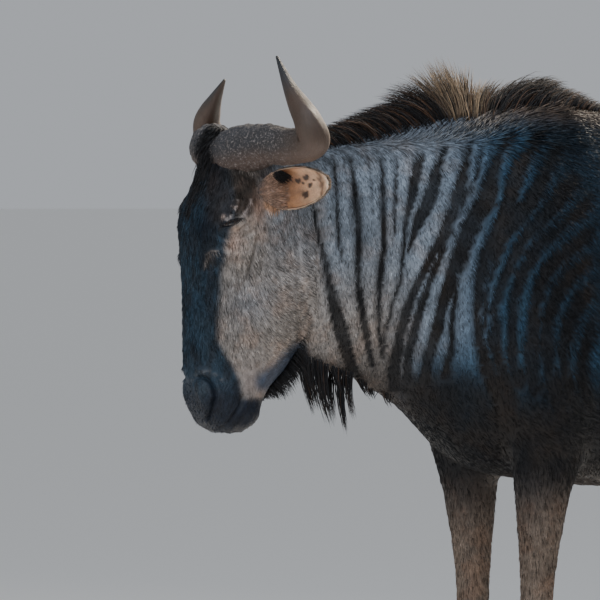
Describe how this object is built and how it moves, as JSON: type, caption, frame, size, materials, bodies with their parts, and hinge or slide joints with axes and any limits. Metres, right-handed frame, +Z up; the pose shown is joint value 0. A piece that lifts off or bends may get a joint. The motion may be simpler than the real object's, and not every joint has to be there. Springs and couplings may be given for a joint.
{
  "type": "wildebeest model",
  "caption": "Still life-size blue wildebeest bull, standing with its face hanging straight down: horns, upright mane, beard, tasselled tail and flat hooves",
  "frame": {"origin": "on the ground, below the middle of the animal's box", "axes": "+Z up, -X towards the head, -Y towards the animal's left side, which the picture shows"},
  "size_m": [1.8737, 0.4835, 1.4567],
  "materials": {
    "body_coat": "short flat brindled hair, blue grey with near black upright stripes",
    "head_coat": "short flat hair, near black in front, grey brown on the cheek",
    "long_hair": "long coarse black hair",
    "leg_coat": "short tan brown hair",
    "ear_coat": "thin skin with fine pale hair, brown spots inside",
    "horn": "rough grey brown boss, smooth brown shaft, black tip",
    "eye": "wet and glossy dark brown",
    "hoof": "dull dark horn"
  },
  "bodies": {
    "root": {"head": "head_coat", "neck": "body_coat", "torso": "body_coat", "tail": "long_hair", "horn_left": "horn", "ear_left": "ear_coat", "eye_left": "eye", "horn_right": "horn", "ear_right": "ear_coat", "eye_right": "eye", "leg_front_left_upper": "leg_coat", "leg_front_left_lower": "leg_coat", "hoof_front_left": "hoof", "leg_front_right_upper": "leg_coat", "leg_front_right_lower": "leg_coat", "hoof_front_right": "hoof", "leg_hind_left_upper": "leg_coat", "leg_hind_left_lower": "leg_coat", "hoof_hind_left": "hoof", "leg_hind_right_upper": "leg_coat", "leg_hind_right_lower": "leg_coat", "hoof_hind_right": "hoof"}
  },
  "joints": []
}
